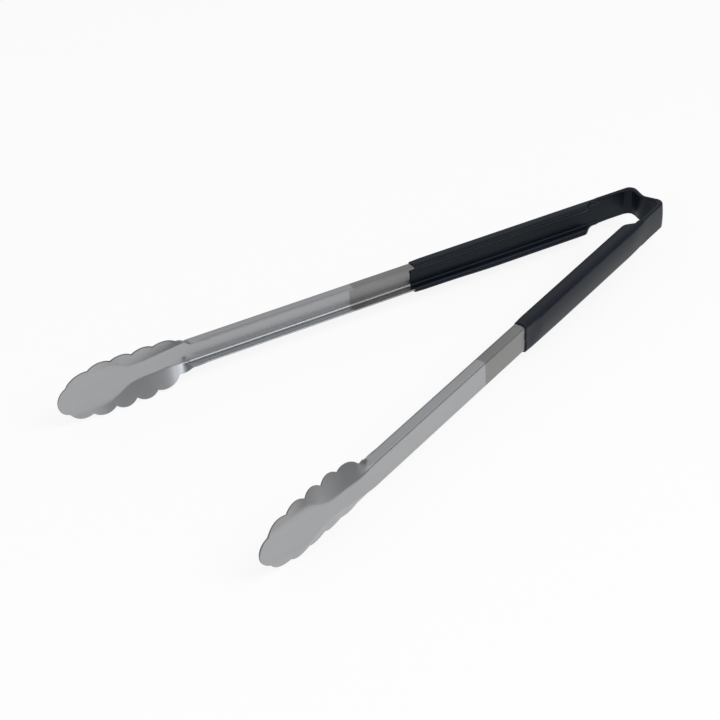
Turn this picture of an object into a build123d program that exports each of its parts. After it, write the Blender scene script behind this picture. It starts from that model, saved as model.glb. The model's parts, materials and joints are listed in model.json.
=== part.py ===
from build123d import *
from math import cos, radians, sin, tan
import os

# Utility tongs made of one stainless strip: a bow that is the spring, two channel arms with turned-in
# lips, and two scalloped scoop heads. The bow and the grips are dipped in vinyl. All lengths in mm.

# Strip and open position
STEEL = 1.0  # sheet thickness
OPEN_ANGLE = 12.75  # each arm from the centre line when the spring is relaxed
CLOSE_ANGLE = 14.5  # most that one arm can turn inward at its flex line
ARM_LENGTH = 407.7  # along an arm, from the bow's sharp corner to the tip

# Bow: two round corners with the middle pressed in between them
BOW_WIDTH = 27.6  # across the outer faces at the sharp corners
BOW_DENT = 4.85  # middle of the bow, inside the line of the sharp corners
BOW_CORNER_R = 3.8  # on the centre line of the strip
BOW_DENT_R = 8.0  # on the centre line of the strip
FLEX_AT = 14.0  # flex line on the spring leaf, from the sharp corner

# Spring leaf and channel arm
LEAF_WIDTH = 16.4
LEAF_END = 32.5  # where the flanges start to rise
FLANGE_RISE = 9.0  # length of that rise
CHANNEL_HEIGHT = 17.0
FLANGE_DEPTH = 7.1
CHANNEL_R = 1.4  # outside radius of the bends
LIP = 2.8  # turned-in edge, from the outside of the flange

# Head: a scoop that rises inward to a flat tip, with five scallops a side and one at the tip
HEAD_LENGTH = 87.2
HEAD_RISE = 10.7  # floor of the scoop, from the neck to the tip
SHOULDER = 2.0  # where the cut starts at the neck, outside the flange
SCALLOP_RISE = 2.75  # crest of a scallop outside the line of its notches

# Notches between the scallops: distance back from the tip, half width of the head there
NOTCHES = ((6.5, 9.1), (21.3, 15.0), (36.1, 15.9), (49.5, 15.3), (63.2, 15.4), (79.9, 10.7))

# Stations of the scoop: place along the head, floor rise and floor width as shares of the whole,
# flare of the walls in degrees, inside radius of the wall bend, wall length before the scallops are cut
HEAD_STATIONS = (
    (0.06, 0.00, 0.97, 48.0, 1.3, 6.5),
    (0.13, 0.02, 0.93, 37.0, 2.0, 9.5),
    (0.27, 0.16, 0.88, 29.0, 3.0, 13.5),
    (0.44, 0.30, 0.90, 23.5, 5.0, 13.5),
    (0.60, 0.47, 1.15, 17.0, 8.0, 11.5),
    (0.76, 0.67, 1.33, 13.0, 12.0, 9.8),
    (0.89, 0.84, 1.38, 14.0, 12.0, 9.5),
    (1.06, 0.99, 1.41, 3.0, 12.0, 9.0),
)

# Vinyl coating
COAT = 1.0  # thickness on every side of the steel
COAT_END = 169.7  # front edge of the grip, from the sharp corner
COAT_EDGE = 0.6  # bevel along the edges of the coated strip
COAT_FILLET = 5.5  # radius at which it fills the bow's inner corners

HEAD_START = ARM_LENGTH - HEAD_LENGTH
ARM = Pos(0, BOW_WIDTH / 2, 0) * Rot(0, 0, OPEN_ANGLE)


def station(along):
    """Plane across the arm: first axis along the strip's width, second inward from its outer face."""
    return Plane(origin=(along, 0, 0), x_dir=(0, 0, 1), z_dir=(1, 0, 0))


def on_arm(along, inward):
    """Point in plan of the left arm."""
    return (ARM * Pos(along, -inward, 0)).position


def strip_section(width, skin):
    """Flat strip, with a skin of coating whose edges are blunt."""
    section = Rectangle(width + 2 * skin, STEEL + 2 * skin)
    return chamfer(section.vertices(), COAT_EDGE) if skin else section


def bow_line(inward, corner_r):
    """Line round the bow in plan, inward from the middle of the strip, from one flex line to the other."""
    flex = on_arm(FLEX_AT, STEEL / 2 + inward)
    corner = on_arm(0, STEEL / 2)
    middle = Vector(corner.X + BOW_DENT, 0)
    along_arm = (flex - on_arm(0, STEEL / 2 + inward)).normalized()
    along_side = (middle - corner).normalized()
    half_angle = radians(along_arm.get_angle(along_side)) / 2
    corner += (along_arm + along_side).normalized() * (inward / sin(half_angle))
    middle += Vector(inward / abs(along_side.Y), 0)
    points = [flex, corner, middle, Vector(corner.X, -corner.Y), Vector(flex.X, -flex.Y)]
    return FilletPolyline(*points, radius=[corner_r, BOW_DENT_R + inward, corner_r])


def bow(skin):
    """The strip round the bow. A skin of coating has blunt edges and fills the inner corners."""
    half = STEEL / 2 + skin
    outer = bow_line(-half, BOW_CORNER_R + half)
    inner = bow_line(half, COAT_FILLET if skin else BOW_CORNER_R - half)
    ends = [Line(outer @ 0, inner @ 0), Line(outer @ 1, inner @ 1)]
    plan = make_face(Curve() + [outer, inner, *ends])
    band = extrude(plan, amount=LEAF_WIDTH / 2 + skin, both=True)
    if skin:
        before_flex = on_arm(FLEX_AT, 0).X - half
        edges = band.edges().filter_by(Plane.XY)
        band = chamfer([edge for edge in edges if edge.center().X < before_flex], COAT_EDGE)
    return band


def flex_relief():
    """Wedge on the inside of the bend at a flex line, which lets the leaf turn without binding."""
    hinge = Vector(FLEX_AT, -STEEL / 2)
    depth = STEEL + 2 * COAT
    back = depth * tan(radians(CLOSE_ANGLE))
    wedge = make_face(Polyline(hinge, hinge - (0, depth), hinge - (back, depth), close=True))
    tall = LEAF_WIDTH + 4 * COAT
    left = ARM * Pos(0, 0, -tall / 2) * extrude(wedge, amount=tall)
    return left + mirror(left, about=Plane.XZ)


def leaf(skin):
    """Flat spring leaf from the flex line to the channel, narrowing where the flanges rise."""
    end = LEAF_END + FLANGE_RISE
    section = station(FLEX_AT) * Pos(0, STEEL / 2) * strip_section(LEAF_WIDTH, skin)
    blank = extrude(section, amount=end - FLEX_AT)
    wide = LEAF_WIDTH / 2 + skin
    narrow = CHANNEL_HEIGHT / 2 - CHANNEL_R
    sides = [(FLEX_AT, wide), (LEAF_END, wide), (end, narrow)]
    outline = make_face(Polyline(*sides, *[(x, -y) for x, y in reversed(sides)], close=True))
    return blank & extrude(Plane.XZ * outline, amount=2 * FLANGE_DEPTH, both=True)


def channel(skin, end):
    """Channel with turned-in lips, its flanges rising from the leaf in an S."""
    wall = STEEL + skin
    outer_r = CHANNEL_R + skin
    inner_r = max(CHANNEL_R - wall, STEEL / 10)
    centre = Pos(0, FLANGE_DEPTH / 2)
    outside = RectangleRounded(CHANNEL_HEIGHT + 2 * skin, FLANGE_DEPTH + 2 * skin, outer_r)
    inside = RectangleRounded(CHANNEL_HEIGHT - 2 * wall, FLANGE_DEPTH - 2 * wall, inner_r)
    mouth = Rectangle(CHANNEL_HEIGHT - 2 * LIP - 2 * skin, 3 * wall)
    section = centre * (outside - inside) - Pos(0, FLANGE_DEPTH) * mouth
    bar = extrude(station(LEAF_END) * section, amount=end - LEAF_END)

    low = (LEAF_END - skin, -wall)
    high = (LEAF_END + FLANGE_RISE - skin, -FLANGE_DEPTH - skin)
    over = high[1] - FLANGE_DEPTH
    rise = Spline(low, high, tangents=[(1, 0), (1, 0)])
    rim = Polyline(high, (high[0], over), (low[0] - FLANGE_RISE, over), (low[0] - FLANGE_RISE, low[1]), low)
    return bar - extrude(make_face(Curve() + [rise, rim]), amount=CHANNEL_HEIGHT, both=True)


def both_sides(*points):
    """The points, followed by their mirror images in reverse order."""
    return [*points, *[(-x, y) for x, y in reversed(points)]]


def sheet_section(floor, half_floor, flare, bend, wall):
    """Sheet bent up on both sides: a floor, two bends and two walls that lean at the flare angle."""
    turn = radians(flare)
    rim = (half_floor + wall * cos(turn), floor + wall * sin(turn))
    rim_out = (rim[0] + STEEL * sin(turn), rim[1] - STEEL * cos(turn))
    inner = both_sides(rim, (half_floor, floor))
    outer = both_sides(rim_out, (half_floor + STEEL * tan(turn / 2), floor - STEEL))
    lines = [
        FilletPolyline(*inner, radius=bend),
        Line(inner[-1], outer[-1]),
        FilletPolyline(*outer, radius=bend + STEEL),
        Line(outer[0], inner[0]),
    ]
    return make_face(Curve() + lines)


def scallop_outline():
    """Outline of the head as it is cut, from the neck, seen square to the arm's outer face."""
    notches = [(HEAD_LENGTH - back, half) for back, half in NOTCHES]
    neck = (0, CHANNEL_HEIGHT / 2 + SHOULDER)
    along, half = notches[0]
    tip = ThreePointArc((along, -half), (HEAD_LENGTH, 0), (along, half))
    side = [SagittaArc(a, b, -SCALLOP_RISE) for a, b in zip(notches, notches[1:])]
    side = Curve() + side + Line(notches[-1], neck)
    back = Line(neck, (neck[0], -neck[1]))
    return make_face(Curve() + [tip, side, mirror(side, about=Plane.XZ), back])


def head():
    """Scoop lofted from the channel's section through its stations, then cut to the scalloped outline."""
    half_floor = CHANNEL_HEIGHT / 2 - STEEL
    neck = (0.0, 0.0, 1.0, 90.0, CHANNEL_R - STEEL, FLANGE_DEPTH - STEEL)
    sections = []
    for place, rise, width, flare, bend, wall in (neck, *HEAD_STATIONS):
        face = sheet_section(STEEL + HEAD_RISE * rise, half_floor * width, flare, bend, wall)
        sections.append(station(HEAD_LENGTH * place) * face)
    scoop = loft(sections) & extrude(Plane.XZ * scallop_outline(), amount=4 * HEAD_RISE, both=True)
    return Pos(HEAD_START, 0, 0) * scoop


def steel_arm():
    return leaf(0) + channel(0, HEAD_START) + head()


def grip():
    return leaf(COAT) + channel(COAT, COAT_END) - leaf(0) - channel(0, HEAD_START)


steel_bow = bow(0)
relief = flex_relief()
left_arm = ARM * steel_arm()
left_grip = ARM * grip()
nodes = {
    "spring_bow": steel_bow - relief,
    "bow_coating": bow(COAT) - steel_bow - relief,
    "left_arm": left_arm,
    "right_arm": mirror(left_arm, about=Plane.XZ),
    "left_grip": left_grip,
    "right_grip": mirror(left_grip, about=Plane.XZ),
}

# The origin is under the middle of the tongs, at the height of the lowest scallops
back = nodes["bow_coating"].bounding_box().min.X
front = on_arm(ARM_LENGTH, STEEL + HEAD_RISE).X
lowest = scallop_outline().bounding_box().min.Y
to_origin = Pos(-(back + front) / 2, 0, -lowest)
os.makedirs("parts", exist_ok=True)
for name, shape in nodes.items():
    export_step(to_origin * shape, f"parts/{name}.step")
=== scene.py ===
import json
from math import atan, cos, pi, radians, sin, tan

import bpy
import numpy as np
from mathutils import Matrix, Vector


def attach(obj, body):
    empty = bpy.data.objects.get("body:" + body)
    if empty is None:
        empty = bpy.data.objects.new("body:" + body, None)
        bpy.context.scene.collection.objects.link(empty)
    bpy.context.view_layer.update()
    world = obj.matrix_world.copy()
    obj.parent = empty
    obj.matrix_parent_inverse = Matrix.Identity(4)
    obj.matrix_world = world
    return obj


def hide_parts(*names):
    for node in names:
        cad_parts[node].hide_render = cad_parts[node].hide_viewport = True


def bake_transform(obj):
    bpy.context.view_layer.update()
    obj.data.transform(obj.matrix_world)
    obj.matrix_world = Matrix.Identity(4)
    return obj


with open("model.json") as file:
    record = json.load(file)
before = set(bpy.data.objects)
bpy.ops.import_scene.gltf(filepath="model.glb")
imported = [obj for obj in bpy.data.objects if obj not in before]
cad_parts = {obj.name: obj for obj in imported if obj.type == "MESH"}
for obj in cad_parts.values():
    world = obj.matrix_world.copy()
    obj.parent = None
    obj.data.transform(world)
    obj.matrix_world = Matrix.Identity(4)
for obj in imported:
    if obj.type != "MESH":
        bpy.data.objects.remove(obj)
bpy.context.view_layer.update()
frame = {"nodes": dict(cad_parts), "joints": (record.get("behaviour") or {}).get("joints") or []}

# Steel arms. The tongs are one strip of 1 mm stainless steel, brushed along its length and bent round a
# bow. Each arm is a flat spring leaf, a channel whose edges are curled in as lips, and a pressed scoop
# with scalloped edges, all of the same sheet.
STEEL = 1.0  # thickness of the sheet, with all sizes in mm
OPEN_ANGLE = radians(12.75)  # of each arm from the centre line
BOW_WIDTH = 27.6
BOW_DENT = 4.85  # how far the middle of the bow is pressed in
BOW_CORNER_R = 3.8
BOW_DENT_R = 8.0
FLEX_AT = 14.0  # places along an arm are measured from the bow's sharp corner
LEAF_WIDTH = 16.4
LEAF_END = 32.5
FOLD_START = LEAF_END - 6  # the edges of the leaf start to fold up into flanges
FOLD_END = LEAF_END + 2
RISE_END = LEAF_END + 9  # the flanges have reached their depth
CHANNEL_HEIGHT = 17.7
FLANGE_DEPTH = 7.9
CHANNEL_R = 2.0  # outside radius of the bends
INNER_R = 2.1  # their inside radius, larger because the sheet is pressed thicker there
LIP = 1.1  # curled edge, from the outside of the flange
LIP_R = 2.5
LIP_TURN = radians(42)
ARM_LENGTH = 407.7
HEAD_LENGTH = 87.2
HEAD_RISE = 10.7
SCALLOP_RISE = 2.75
TIP_STOP = radians(1.5)  # turn at which the tip's arc stops short of the centre line
CUT_EDGE = 0.12  # how far the blanked edge is rounded
LIP_EDGE_FINISH_AND_SHADE = 0.2  # share of the cut edge's darkening, its rough finish and painted shade, that is kept on the lips

# Notches between the scallops: distance back from the tip, half width of the head there
NOTCHES = np.array([(6.5, 9.1), (21.3, 15.0), (36.1, 15.9), (49.5, 15.3), (63.2, 15.4), (78.7, 11.9)])

# Stations of the scoop: place along the head, floor rise and floor width as shares of the whole, flare
# of the walls in degrees, inside radius of the wall bend
HEAD_STATIONS = np.array([
    (-0.06, 0.00, 1.00, 90.0, 1.0),
    (0.00, 0.00, 1.00, 90.0, 1.0),
    (0.06, 0.00, 0.86, 44.0, 1.4),
    (0.13, 0.02, 0.76, 33.0, 1.8),
    (0.27, 0.16, 0.69, 26.0, 2.4),
    (0.37, 0.235, 0.65, 23.0, 3.0),
    (0.46, 0.32, 0.76, 21.3, 4.0),
    (0.53, 0.395, 1.10, 23.0, 7.0),
    (0.60, 0.47, 1.38, 24.0, 12.0),
    (0.68, 0.57, 1.38, 18.0, 14.0),
    (0.76, 0.67, 1.34, 14.0, 14.0),
    (0.89, 0.84, 1.32, 14.0, 12.0),
    (1.06, 1.09, 1.35, 3.0, 12.0),
])

HEAD_START = ARM_LENGTH - HEAD_LENGTH
NECK_START = HEAD_START - 14  # closer rows of faces from here
LIP_OPENS = HEAD_START - 15  # the lip starts to open out into the flange
LIP_OPEN = HEAD_START - 0.5
EDGE_LEAVES = HEAD_START - 5  # the edge starts towards the scoop's first notch

hinge = next(joint["pos_m"] for joint in frame["joints"] if joint["name"] == "left_flex")
mid_height = hinge[2] * 1000
corner_y = BOW_WIDTH / 2 - STEEL / 2 * cos(OPEN_ANGLE)
dent_turn = atan(BOW_DENT / corner_y)
corner_turn = pi / 2 + dent_turn - OPEN_ANGLE
corner_reach = BOW_CORNER_R * tan(corner_turn / 2)
bow_side = (BOW_DENT**2 + corner_y**2) ** 0.5 - BOW_DENT_R * tan(dent_turn) - corner_reach
corner_start = BOW_DENT_R * dent_turn + bow_side
corner_end = corner_start + BOW_CORNER_R * corner_turn


def heading_of(lengths, *bends):
    """Direction of a bent line at each length. Each bend is a start, a radius and an angle, and the
    direction turns evenly from the bend's start to the end of its arc."""
    turn = np.zeros(np.shape(lengths))
    for start, radius, angle in bends:
        arc = np.maximum(np.abs(radius * angle), 1e-6)
        turn = turn + angle * np.clip((lengths - start) / arc, 0, 1)
    return turn


def laid_out(lengths, heading):
    """The line that follows a heading: running sums of the cosine and the sine of each step's mean
    heading, times the step's length."""
    mean = (heading[..., 1:] + heading[..., :-1]) / 2
    step = np.diff(lengths, axis=-1)
    start = np.zeros(mean.shape[:-1] + (1,))
    forward = np.concatenate([start, np.cumsum(step * np.cos(mean), axis=-1)], axis=-1)
    sideways = np.concatenate([start, np.cumsum(step * np.sin(mean), axis=-1)], axis=-1)
    return forward, sideways


def from_bow(along_arm):
    """Distance along the strip from the middle of the bow, for a place along an arm."""
    return np.asarray(along_arm, float) - corner_reach + corner_end


def strip_path(at):
    """Plan of half of the strip at distances from the middle of the bow: the dent's arc, a straight
    side, the corner's arc and the straight arm. Gives x, y and the heading."""
    flex = from_bow(FLEX_AT)
    fine = np.unique(np.concatenate([np.linspace(0, flex, 600), np.ravel(at)]))
    bends = (0, BOW_DENT_R, dent_turn), (corner_start, BOW_CORNER_R, -corner_turn)
    heading = pi / 2 + heading_of(fine, *bends)
    x, y = laid_out(fine, heading)
    x = x + hinge[0] * 1000 - np.interp(flex, fine, x)
    y = y + hinge[1] * 1000 - np.interp(flex, fine, y)
    return tuple(np.interp(at, fine, line) for line in (x, y, heading))


def eased(value, low, high):
    """S-shaped step: nothing below low, one above high, 3t^2 - 2t^3 between."""
    t = np.clip((value - low) / (high - low), 0, 1)
    return t * t * (3 - 2 * t)


def through(knots, values, at):
    """Smooth curve through values at knots: on each span the cubic that has, at both ends, the slope
    given by the neighbours."""
    slopes = np.gradient(values, knots)
    k = np.clip(np.searchsorted(knots, at) - 1, 0, len(knots) - 2)
    span = knots[k + 1] - knots[k]
    t = (at - knots[k]) / span
    ends = values[k] * (1 + 2 * t) * (1 - t) ** 2 + values[k + 1] * t * t * (3 - 2 * t)
    return ends + span * t * (1 - t) * (slopes[k] * (1 - t) - slopes[k + 1] * t)


def edge_lengths(bend, lip_bend):
    """Distances over the channel's sheet, from the middle of the web, at which the flange and the lip
    start and the lip ends: flats and arcs of the section added up."""
    flange_start = CHANNEL_HEIGHT / 2 - STEEL / 2 - bend
    lip_start = flange_start + bend * pi / 2 + FLANGE_DEPTH - STEEL - bend - lip_bend
    past_bend = (LIP - STEEL / 2 - lip_bend * (1 - cos(LIP_TURN))) / sin(LIP_TURN)
    return flange_start, lip_start, lip_start + lip_bend * LIP_TURN + past_bend


def scoop_form(along):
    """Form of the scoop from the smoothed stations: floor rise, half of the floor, bend and flare."""
    place = (along - HEAD_START) / HEAD_LENGTH
    rise, width, flare, bend = (through(HEAD_STATIONS[:, 0], v, place) for v in HEAD_STATIONS[:, 1:].T)
    flare = np.radians(flare)
    bend = bend + STEEL / 2
    start = (CHANNEL_HEIGHT / 2 - STEEL) * width + (STEEL / 2 - bend) * np.tan(flare / 2)
    return HEAD_RISE * rise, start, bend, flare


def scoop_edge(half, start, bend, flare):
    """Distance over the scoop's sheet to a half width: along the floor, round the arc of the bend by its
    arcsine, or up the wall by one over the cosine of its flare."""
    bend_half = start + bend * np.sin(flare)
    in_bend = start + bend * np.arcsin(np.clip((half - start) / bend, 0, np.sin(flare)))
    on_wall = start + bend * flare + (half - bend_half) / np.cos(flare)
    return np.where(half < start, half, np.where(half < bend_half, in_bend, on_wall))


def neck_edge(along, lip_end):
    """Edge of the sheet at the neck, eased from the end of the lip to the first notch of the scoop."""
    notch = ARM_LENGTH - NOTCHES[-1, 0]
    at_notch = scoop_edge(NOTCHES[-1, 1], *scoop_form(np.array(notch))[1:])
    return lip_end + (at_notch - lip_end) * eased(along, EDGE_LEAVES, notch)


def channel_sheet(along, columns, bend, lip_bend):
    """Middle of the sheet of leaf and channel, from the middle of the web to one edge: a flat web, a
    bend up into the flange and a curl inward at the lip. From the leaf the edge grows out in an S, and
    before the neck the lip opens out into the flange."""
    flange_start, lip_start, lip_end = edge_lengths(bend, lip_bend)
    leaf = LEAF_WIDTH / 2
    width = leaf + (neck_edge(along, lip_end) - leaf) * eased(along, LEAF_END, RISE_END)
    up = pi / 2 * eased(along, FOLD_START, FOLD_END)[:, None]
    turned_in = LIP_TURN * (1 - eased(along, LIP_OPENS, LIP_OPEN))[:, None]
    lengths = width[:, None] * columns
    heading = heading_of(lengths, (flange_start, bend, up), (lip_start, lip_bend, turned_in))
    across, depth = laid_out(lengths, heading)
    return lengths, across, depth, heading


def scallop_edge(per_scallop):
    """Outline of one side of the head from the neck to the tip, as places along the arm and half widths:
    an arc of given rise over each pair of notches, then half of the tip's arc."""
    notches = np.column_stack([ARM_LENGTH - NOTCHES[:, 0], NOTCHES[:, 1]])[::-1]
    chord = np.diff(notches, axis=0)
    length = np.hypot(*chord.T)[:, None]
    half_angle = 2 * np.arctan(2 * SCALLOP_RISE / length)
    radius = length / 2 / np.sin(half_angle)
    swing = half_angle * np.linspace(-1, 1, per_scallop, endpoint=False)
    forth = radius * np.sin(swing) / length
    rise = (radius * np.cos(swing) - radius * np.cos(half_angle)) / length
    middle = (notches[1:] + notches[:-1]) / 2
    along = middle[:, :1] + forth * chord[:, :1] - rise * chord[:, 1:]
    half = middle[:, 1:] + forth * chord[:, 1:] + rise * chord[:, :1]

    back, wide = NOTCHES[0]
    tip_radius = (back**2 + wide**2) / (2 * back)
    tip = np.linspace(np.arcsin(wide / tip_radius), TIP_STOP, per_scallop)
    along = np.append(along, ARM_LENGTH - tip_radius + tip_radius * np.cos(tip))
    return along, np.append(half, tip_radius * np.sin(tip))


def head_sheet(columns, per_scallop):
    """Middle of the sheet of the scoop: floor, bend and leaning wall, carried out to the scalloped
    outline. At the neck the edge runs on from the channel's."""
    along, half = scallop_edge(per_scallop)
    neck = np.linspace(HEAD_START, along[0], 16, endpoint=False)
    along = np.append(neck, along)
    rise, start, bend, flare = scoop_form(along)
    first = len(neck)
    lip_end = edge_lengths(CHANNEL_R - STEEL / 2, LIP_R - STEEL / 2)[2]
    on_scoop = scoop_edge(half, start[first:], bend[first:], flare[first:])
    edge = np.append(neck_edge(neck, lip_end), on_scoop)

    lengths = edge[:, None] * columns
    heading = heading_of(lengths, (start[:, None], bend[:, None], flare[:, None]))
    across, depth = laid_out(lengths, heading)
    return along, lengths, across, depth + rise[:, None], heading


def skin(outer, inner, out_thick, in_thick, bulge, rounding):
    """Closed section round a sheet: its outer face, a rounded edge, its inner face, and the mirror image
    of these. Faces stand off the middle along the normal, and the edge by the bulge. The last value is
    one on the edge and nothing on the faces."""
    def stood_off(sheet, thick, turn, column, rim):
        lengths, across, depth, heading = (part[:, column] for part in sheet)
        normal, outward = thick * np.sin(turn), bulge * np.cos(turn)
        wide = across - normal * np.sin(heading) + outward * np.cos(heading)
        deep = depth + normal * np.cos(heading) + outward * np.sin(heading)
        return np.stack(np.broadcast_arrays(wide, deep, lengths, rim))

    turns = np.linspace(-pi / 2, pi / 2, rounding + 2)[1:-1]
    edge = slice(-1, None)
    half = np.concatenate([
        stood_off(outer, out_thick, -pi / 2, slice(None), 0.0),
        stood_off(outer, out_thick, turns[: rounding // 2], edge, 1.0),
        stood_off(inner, in_thick, turns[rounding // 2 :], edge, 1.0),
        stood_off(inner, in_thick, pi / 2, slice(None, None, -1), 0.0),
    ], axis=2)
    mirrored = half[:, :, -2:0:-1] * np.array([-1, 1, -1, 1])[:, None, None]
    return np.concatenate([half, mirrored], axis=2)


def strip_mesh(name, along, section, side):
    """Mesh of a closed section carried along one half of the strip, with flat ends. Rows of quads join
    the sections, and a ladder of quads between the outer and inner face closes each end. The map holds
    the distance along the strip and across it, and an attribute marks the cut edge."""
    across, depth, lengths, rim = section
    rows, ring = across.shape
    along = np.broadcast_to(along, across.shape)
    x, y, heading = strip_path(from_bow(along))
    x = x + depth * np.sin(heading)
    y = side * (y - depth * np.cos(heading))
    points = np.stack([x, y, across + mid_height], -1)

    grid = np.arange(rows * ring).reshape(rows, ring)
    beside = np.roll(grid, -1, axis=1)
    walls = np.stack([grid[:-1], grid[1:], beside[1:], beside[:-1]], -1).reshape(-1, 4)
    ladder = np.arange(ring // 4 + 1)
    other = ring // 2 - ladder
    caps = [np.stack([ladder[:-1], ladder[1:], other[1:], other[:-1]], -1)]
    caps.append((ring - caps[0][:, ::-1]) % ring)
    caps = np.concatenate(caps)
    faces = np.concatenate([walls, grid[0][caps], grid[-1][caps[:, ::-1]]])
    if side > 0:
        faces = faces[:, ::-1]

    mesh = bpy.data.meshes.new(name)
    mesh.from_pydata((points.reshape(-1, 3) / 1000).tolist(), [], faces.tolist())
    strip_map = np.stack([along, lengths], -1).reshape(-1, 2) / 1000
    mesh.uv_layers.new(name="strip").data.foreach_set("uv", strip_map[faces.ravel()].ravel())
    mesh.attributes.new("cut_edge", "FLOAT", "POINT").data.foreach_set("value", rim.ravel())
    mesh.shade_smooth()
    mesh.set_sharp_from_angle(angle=radians(40))
    piece = bpy.data.objects.new(name, mesh)
    bpy.context.scene.collection.objects.link(piece)
    return piece


class Tone:
    """A socket in a node tree. Arithmetic on it adds Math nodes, and node() adds any other."""

    def __init__(self, tree, socket=None):
        self.tree, self.socket = tree, socket

    def node(self, kind, settings, inputs, output=0):
        """A new node of a kind, with its settings made first and then its sockets set or linked."""
        made = self.tree.nodes.new(kind)
        for name, value in settings.items():
            setattr(made, name, value)
        for name, value in inputs.items():
            if isinstance(value, Tone):
                self.tree.links.new(value.socket, made.inputs[name])
            else:
                made.inputs[name].default_value = value
        return Tone(self.tree, made.outputs[output]) if made.outputs else None

    def math(self, operation, first, second):
        return self.node("ShaderNodeMath", {"operation": operation}, {0: first, 1: second})

    def __add__(self, other):
        return self.math("ADD", self, other)

    def __sub__(self, other):
        return self.math("SUBTRACT", self, other)

    def __rsub__(self, other):
        return self.math("SUBTRACT", other, self)

    def __mul__(self, other):
        return self.math("MULTIPLY", self, other)

    __radd__ = __add__
    __rmul__ = __mul__

    def between(self, low, high):
        """S-shaped step from nothing at low to one at high."""
        limits = {"Value": self, "From Min": low, "From Max": high}
        return self.node("ShaderNodeMapRange", {"interpolation_type": "SMOOTHSTEP"}, limits)

    def mixed(self, colour, other):
        """Colour where this value is nothing, and the other where it is one."""
        return self.node("ShaderNodeMix", {"data_type": "RGBA"}, {0: self, 6: colour, 7: other}, 2)

    def noise(self, place, stretch, detail):
        """Noise on a place stretched along each axis, in spots per metre."""
        scaled = self.node("ShaderNodeVectorMath", {"operation": "MULTIPLY"}, {0: place, 1: stretch})
        return self.node("ShaderNodeTexNoise", {}, {"Vector": scaled, "Scale": 1.0, "Detail": detail})


def new_finish(name):
    """Empty material, with a Tone to add nodes to it."""
    finish = bpy.data.materials.new(name)
    finish.use_nodes = True
    finish.node_tree.nodes.clear()
    return finish, Tone(finish.node_tree)


PALE_STEEL = 0.4, 0.403, 0.41, 1
BRIGHT_STEEL = 0.416, 0.419, 0.426, 1
DULL_STEEL = 0.28, 0.276, 0.272, 1
# Cut edges: darker partly for their rougher blanked finish, partly as painted shade for the dark lines
# along the sheet's edges
EDGE_FINISH_AND_SHADE_STEEL = 0.16, 0.16, 0.165, 1
# painted shade: a dark spot standing for the shading of a small pressed dent
DENT_SHADE_STEEL = 0.16, 0.155, 0.15, 1
BAND_END = 0.2104, 0.2116  # where the dull band ends, in metres along the strip as the map has it
DENT_SHADE_AT = 0.3237, -0.0039, 0
DENT_SHADE_RADII = 0.0006, 0.002


def brushed_steel():
    """Satin stainless steel: fine brushing along the strip, soft streaks, a duller and warmer band with
    a straight edge in front of the coating, rough blanked edges darkened partly as painted shade, and a
    small dark spot of painted shade for a pressed dent by the neck of the right arm."""
    finish, tone = new_finish("brushed_steel")
    strip = tone.node("ShaderNodeUVMap", {"uv_map": "strip"}, {})
    along = tone.node("ShaderNodeSeparateXYZ", {}, {0: strip})
    body = tone.node("ShaderNodeTexCoord", {}, {}, 3)
    edge = tone.node("ShaderNodeAttribute", {"attribute_name": "cut_edge"}, {}, 2)
    brushing = tone.noise(strip, (60, 5200, 0), 3.0)
    streaks = tone.noise(strip, (14, 900, 0), 3.0)
    clouds = tone.noise(body, (28, 28, 28), 2.0)
    band = (1 - along.between(*BAND_END)) * (0.75 + clouds * 0.5)
    colour = streaks.between(0.2, 0.8).mixed(PALE_STEEL, BRIGHT_STEEL)
    colour = (band * 0.95).mixed(colour, DULL_STEEL)
    # painted shade: the cut edge is darkened partly for its rough finish and partly for the dark edge
    # lines that are shade
    colour = (edge * 0.65).mixed(colour, EDGE_FINISH_AND_SHADE_STEEL)
    # painted shade of a small pressed dent by the right arm's neck, a dark spot with no dent in the
    # shape
    from_dent_shade = tone.node("ShaderNodeVectorMath", {"operation": "DISTANCE"}, {0: strip, 1: DENT_SHADE_AT}, 1)
    right = 1 - tone.node("ShaderNodeSeparateXYZ", {}, {0: body}, 1).between(-0.001, 0.001)
    dent_shade = right * (1 - from_dent_shade.between(*DENT_SHADE_RADII))
    colour = (dent_shade * 0.7).mixed(colour, DENT_SHADE_STEEL)
    roughness = 0.27 + brushing * 0.06 + clouds * 0.08 + band * 0.05 + edge * 0.2
    grain = tone.node("ShaderNodeBump", {}, {"Strength": 0.1, "Distance": 0.00004, "Height": brushing})
    values = {"Base Color": colour, "Roughness": roughness, "Metallic": 1.0, "Normal": grain}
    shader = tone.node("ShaderNodeBsdfPrincipled", {}, values)
    tone.node("ShaderNodeOutputMaterial", {}, {"Surface": shader})
    return finish


steel = brushed_steel()
half_sheet = STEEL / 2
lip_bend = LIP_R - half_sheet
across_sheet = np.linspace(0, 1, 48)
bar_rows = np.concatenate([
    np.linspace(FLEX_AT, FOLD_START, 5, endpoint=False),
    np.linspace(FOLD_START, RISE_END, 32, endpoint=False),
    np.linspace(RISE_END, NECK_START, 44, endpoint=False),
    np.linspace(NECK_START, HEAD_START, 24),
])
bar_outside = channel_sheet(bar_rows, across_sheet, CHANNEL_R - half_sheet, lip_bend)
bar_inside = channel_sheet(bar_rows, across_sheet, INNER_R + half_sheet, lip_bend)
bar = skin(bar_outside, bar_inside, half_sheet, half_sheet, CUT_EDGE, rounding=4)
# the lips keep only a little of the cut edge's darkening, both its finish and its painted shade
bar[3] *= LIP_EDGE_FINISH_AND_SHADE
head_rows, *scoop_sheet = head_sheet(across_sheet, per_scallop=26)
scoop = skin(scoop_sheet, scoop_sheet, half_sheet, half_sheet, CUT_EDGE, rounding=4)

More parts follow.
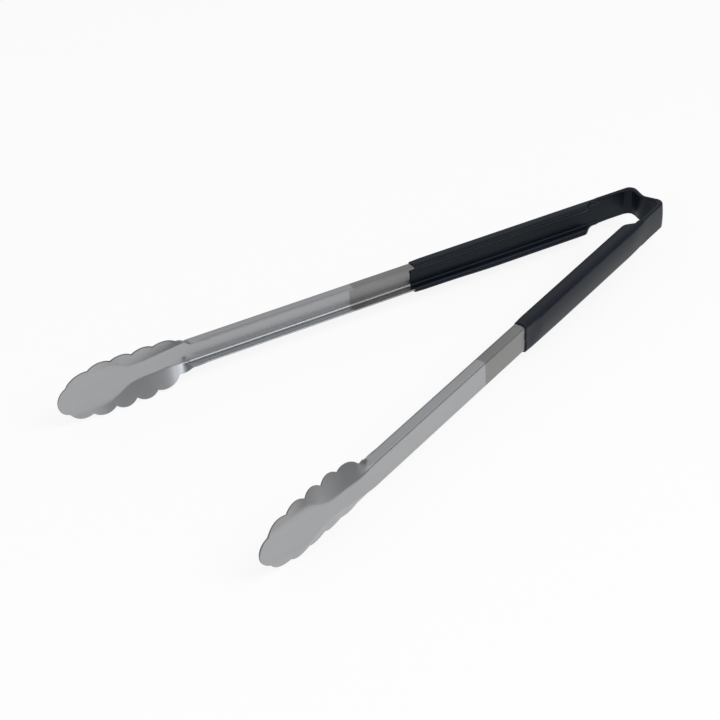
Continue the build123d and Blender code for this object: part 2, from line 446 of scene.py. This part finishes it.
arms = ("left_arm", 1), ("right_arm", -1)  # with the side of the centre line that each is on
for arm, side in arms:
    channel = strip_mesh(arm.replace("arm", "channel"), bar_rows[:, None], bar, side)
    head = strip_mesh(arm.replace("arm", "scoop"), head_rows[:, None], scoop, side)
    for piece in (channel, head):
        piece.data.materials.append(steel)
        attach(piece, arm)
    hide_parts(arm)

# Spring bow. It is the middle of the same strip, bent cold into two corners and a dent, and it springs
# the arms open. It lies wholly inside the coating, so its solid is kept and only its finish is set.
bow = frame["nodes"]["spring_bow"]
bow.data.materials.clear()
bow.data.materials.append(steel)

# Vinyl coating. The bow and grips were dipped in one go in dark navy plastisol, which left a satin skin
# about 1 mm thick. It rounds every corner, fills the bow's inner corners, has sagged a little to one
# side and ends in a soft, slightly wavy edge.
COAT_END = 168.3
COAT = 1.0
GRIP_COAT = 1.2  # thicker over the grips
FRONT_COAT = 0.95  # and thinner to the front edge
GRIP_START = 18, 45  # stretch of the arm over which the grip thickens
THINS = COAT_END - 8, COAT_END - 1
COAT_BENDS = 1.5, 2.8  # bends of the sheet's middle that give the skin, at the web and at the lip
COAT_INNER_BENDS = 2.8, 2.8
COAT_NOSE = 0.9  # length over which the front edge rounds off
CROWN = 0.4
GRIP_CROWN = 1.1
CROWN_HALF = 8.5  # half width of the crown
CROWN_ENDS = COAT_END - 18, COAT_END - 3
CORNER_FILL = 1.6  # added in the middle of the bow's inner corners
FILL_REACH = 6.8  # and how far this reaches along the strip
SAG = 1.0
FRONT_SAG = 0.6  # share of it that is left towards the front
SAG_EASES = 120, 165
DRIP = 0.7
DRIP_ENDS = 106, 142
WAVES = (0.16, 0.9), (0.1, 2.1)  # of the front edge: height, and turn for each mm across
WAVY = COAT_END - 6, COAT_END
FLEXES = 4.0, 24.0  # stretch of the arm round the leaf's flex
NAVY = 0.003, 0.0046, 0.0085, 1
PALER_NAVY = 0.0045, 0.0064, 0.011, 1
NAVY_SHEEN = 0.84, 0.93, 1, 1


def satin_vinyl():
    """Dark navy vinyl: nearly black, faintly mottled, with the fine dimples of a dipped skin."""
    finish, tone = new_finish("satin_vinyl")
    body = tone.node("ShaderNodeTexCoord", {}, {}, 3)
    mottle = tone.noise(body, (45, 45, 45), 3.0)
    dimples = tone.noise(body, (650, 650, 650), 2.0)
    colour = mottle.between(0.3, 0.7).mixed(NAVY, PALER_NAVY)
    roughness = 0.3 + mottle * 0.08 + dimples * 0.06
    bumps = tone.node("ShaderNodeBump", {}, {"Strength": 0.15, "Distance": 0.0001, "Height": dimples})
    values = {"Base Color": colour, "Roughness": roughness, "Specular IOR Level": 0.24,
              "Specular Tint": NAVY_SHEEN, "Normal": bumps}
    shader = tone.node("ShaderNodeBsdfPrincipled", {}, values)
    tone.node("ShaderNodeOutputMaterial", {}, {"Surface": shader})
    return finish


def dipped(section, along, swell):
    """Section of the coating as it set: the web is crowned by a parabola, the lower side hangs SAG
    lower, and its inner edge DRIP lower still over the back of the grip. All fade out at the front."""
    wide, deep, lengths, rim = section
    grip = swell * eased(along, *GRIP_START)
    on_web = eased(-deep, 0.6, 1.4)
    crowned = np.clip(1 - (wide / CROWN_HALF) ** 2, 0, 1) * on_web
    crown = (CROWN + (GRIP_CROWN - CROWN) * grip) * (1 - eased(along, *CROWN_ENDS))
    inward = eased(deep, 1, 7)
    sag = SAG * (1 - (1 - FRONT_SAG) * eased(along, *SAG_EASES))
    on_lower_side = eased(-wide, 3, 9)
    hung = on_lower_side * (sag + DRIP * inward * (1 - eased(along, *DRIP_ENDS)))
    return np.stack([wide - grip * hung, deep - crown * crowned, lengths, rim])


vinyl = satin_vinyl()
nose = COAT_END - COAT_NOSE * np.cos(np.linspace(0, pi / 2, 9))
bow_middle = corner_reach - corner_end
coat_rows = np.concatenate([
    np.linspace(bow_middle, FLEX_AT, 72, endpoint=False),
    np.linspace(FLEX_AT, FOLD_START, 8, endpoint=False),
    np.linspace(FOLD_START, RISE_END, 36, endpoint=False),
    np.linspace(RISE_END, nose[0], 60, endpoint=False),
    nose,
])
swell = np.sqrt(np.clip(1 - (np.maximum(coat_rows - nose[0], 0) / COAT_NOSE) ** 2, 0, 1))[:, None]
from_corner = from_bow(coat_rows) - (corner_start + corner_end) / 2
corner_fill = CORNER_FILL * np.clip(1 - (from_corner / FILL_REACH) ** 2, 0, 1)[:, None] ** 2
outside = channel_sheet(coat_rows, across_sheet, *COAT_BENDS)
inside = channel_sheet(coat_rows, across_sheet, *COAT_INNER_BENDS)
thick = COAT + (GRIP_COAT - COAT) * eased(coat_rows, *GRIP_START)
thick = thick + (FRONT_COAT - GRIP_COAT) * eased(coat_rows, *THINS)
thick = swell * thick[:, None]
skin_out = half_sheet + thick
coat = skin(outside, inside, skin_out, skin_out + corner_fill, CUT_EDGE + thick, rounding=8)
coat = dipped(coat, coat_rows[:, None], swell)

flex_x, flex_y, _ = strip_path(from_bow(np.array(FLEXES)))
for arm, side in arms:
    wave = sum(high * np.sin(coat[2] * turn + k * side) for k, (high, turn) in enumerate(WAVES, 1))
    rows = coat_rows[:, None] + wave * eased(coat_rows, *WAVY)[:, None]
    sleeve = strip_mesh(arm.replace("arm", "coating"), rows, coat, side)
    sleeve.data.materials.append(vinyl)
    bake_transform(sleeve)
    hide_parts(*(["left_grip", "bow_coating"] if side > 0 else ["right_grip"]))

# Studio. A white table and surround, lit softly from above and from the camera's side. To gloss, the
# table's glow is a painted pool of light that darkens away from the tongs, and the sky is brightest
# high up in front, which shapes the steel.
TABLE_GREY = 0.82, 0.82, 0.82, 1
TABLE_GLOW = 0.85  # share of the table's colour that is its own light, to the camera
GLOSS_GLOW = 0.5  # and to gloss
TABLE_RADIUS = 4.0
TABLE_SIDES = 96
TABLE_TOP = -0.0002  # under the lowest scallops
WHITE = 1, 1, 1, 1
POOL_SHAPE = 0.6, 1, 0  # the painted pool of light round the tongs is longer than wide
POOL_EDGE = 0.15, 0.3
POOL_DARK = 0.12, 0.12, 0.125, 1
LIGHT_LEVEL = 0.55
HORIZON_LEVEL = 0.12  # as gloss sees it
SKY_LEVEL = 0.64
FRONT_LEVEL = 1.6
OVERHEAD_DIM = 0.45
SKY_TINT = 0.93, 0.96, 1, 1

bpy.context.scene.view_settings.view_transform = "Standard"


def ray_kinds(tone):
    """Two masks: rays straight from the camera or through glass, and rays by way of gloss."""
    outputs = tone.node("ShaderNodeLightPath", {}, {}).socket.node.outputs
    names = "Is Camera Ray", "Is Transmission Ray", "Is Glossy Ray"
    straight, through_glass, glossy = (Tone(tone.tree, outputs[name]) for name in names)
    return tone.math("MAXIMUM", straight, through_glass), glossy


table_paint, tone = new_finish("table_white")
shade = tone.node("ShaderNodeBsdfDiffuse", {}, {"Color": TABLE_GREY})
straight, glossy = ray_kinds(tone)
spot = tone.node("ShaderNodeTexCoord", {}, {}, 3)
spot = tone.node("ShaderNodeVectorMath", {"operation": "MULTIPLY"}, {0: spot, 1: POOL_SHAPE})
spot = tone.node("ShaderNodeVectorMath", {"operation": "LENGTH"}, {0: spot}, 1)
# painted pool of light: to gloss, the table's glow dims away from the tongs
pool = (glossy * spot.between(*POOL_EDGE)).mixed(WHITE, POOL_DARK)
glow = tone.node("ShaderNodeEmission", {}, {"Color": pool, "Strength": 1.0})
share = tone.math("MINIMUM", straight * TABLE_GLOW + glossy * GLOSS_GLOW, TABLE_GLOW)
table_mix = tone.node("ShaderNodeMixShader", {}, {0: share, 1: shade, 2: glow})
tone.node("ShaderNodeOutputMaterial", {}, {"Surface": table_mix})
around = np.linspace(0, 2 * pi, TABLE_SIDES, endpoint=False)
rim_x, rim_y = TABLE_RADIUS * np.cos(around), TABLE_RADIUS * np.sin(around)
table_rim = np.stack([rim_x, rim_y, np.full(TABLE_SIDES, TABLE_TOP)], -1)
table_mesh = bpy.data.meshes.new("table")
table_mesh.from_pydata(table_rim.tolist(), [], [list(range(TABLE_SIDES))])
table = bpy.data.objects.new("table", table_mesh)
table_mesh.materials.append(table_paint)
bpy.context.scene.collection.objects.link(table)

world = bpy.data.worlds.new("surround")
bpy.context.scene.world = world
world.use_nodes = True
world.node_tree.nodes.clear()
tone = Tone(world.node_tree)
straight, glossy = ray_kinds(tone)
ray = tone.node("ShaderNodeTexCoord", {}, {}, 0)
front = tone.node("ShaderNodeSeparateXYZ", {}, {0: ray}, 1).between(0.4, 0.75)
height = tone.node("ShaderNodeSeparateXYZ", {}, {0: ray}, 2)
sky = height.between(0.1, 0.52) * SKY_LEVEL + front * height.between(0.36, 0.6) * FRONT_LEVEL
sky = sky * (1 - height.between(0.75, 0.95) * OVERHEAD_DIM)
level = LIGHT_LEVEL + straight * (1 - LIGHT_LEVEL) + glossy * (sky - (LIGHT_LEVEL - HORIZON_LEVEL))
tint = (sky * glossy).mixed(WHITE, SKY_TINT)
surround = tone.node("ShaderNodeBackground", {}, {"Color": tint, "Strength": level})
tone.node("ShaderNodeOutputWorld", {}, {"Surface": surround})


def softbox(name, place, aim, size, power):
    """Square area light at a place, turned to its aim and left out of reflections."""
    lamp = bpy.data.lights.new(name, "AREA")
    lamp.size = size
    lamp.energy = power
    light = bpy.data.objects.new(name, lamp)
    light.location = place
    light.visible_glossy = False
    light.rotation_euler = (Vector(aim) - Vector(place)).to_track_quat("-Z", "Y").to_euler()
    bpy.context.scene.collection.objects.link(light)


softbox("key_light", (-0.5, 1.0, 1.3), (0, 0, 0), 1.0, 14)
softbox("fill_light", (1.2, 0.3, 1.0), (0, 0, 0), 1.2, 8)

# Camera at the photograph's angle, found by fitting the arms and the bow to their outlines there. Its
# place and aim are in metres.
PHOTO_LENS = 97.235
PHOTO_FROM = Vector((0.63682, 0.72153, 0.67697))
PHOTO_AIM = Vector((0.04650, -0.00339, 0.018))
PHOTO_ROLL = radians(3.687)
lens = bpy.data.cameras.new("photo_camera")
lens.lens = PHOTO_LENS
lens.sensor_width = 36
camera = bpy.data.objects.new("photo_camera", lens)
turn = (PHOTO_AIM - PHOTO_FROM).to_track_quat("-Z", "Y").to_matrix().to_4x4()
camera.matrix_world = Matrix.Translation(PHOTO_FROM) @ turn @ Matrix.Rotation(-PHOTO_ROLL, 4, "Z")
bpy.context.scene.collection.objects.link(camera)
bpy.context.scene.camera = camera
